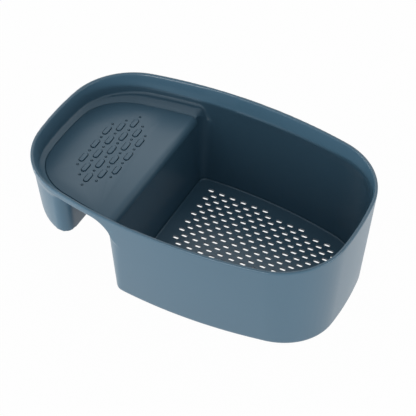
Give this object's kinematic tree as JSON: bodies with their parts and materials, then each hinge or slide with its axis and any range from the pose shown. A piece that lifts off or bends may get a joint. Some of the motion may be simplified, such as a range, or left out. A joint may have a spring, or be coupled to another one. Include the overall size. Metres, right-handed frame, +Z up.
{
  "type": "sink saddle drain basket",
  "caption": "Oblong moulded caddy that straddles a sink wall: deep strainer basket on one side, shallow sponge tray and hollow hook leg on the other.",
  "frame": {"origin": "middle of the rim in plan, on the face that the basket stands on", "axes": "+X along the length, from the hook leg to the basket; +Y across it; +Z up out of the basket"},
  "size_m": [0.2998, 0.1932, 0.105],
  "materials": {
    "body_plastic": "satin slate-blue moulded polypropylene",
    "plate_plastic": "satin slate-blue moulded polypropylene",
    "tray_plastic": "satin slate-blue moulded polypropylene"
  },
  "bodies": {
    "body": {"basket_body": "body_plastic"},
    "plate": {"strainer_plate": "plate_plastic"},
    "tray": {"sponge_tray": "tray_plastic"}
  },
  "joints": [
    {"name": "plate_lift", "type": "slide", "parent": "body", "child": "plate", "axis": [0, 0, 1], "range_m": [0, 0.115]},
    {"name": "tray_lift", "type": "slide", "parent": "body", "child": "tray", "axis": [0, 0, 1], "range_m": [0, 0.045]}
  ]
}
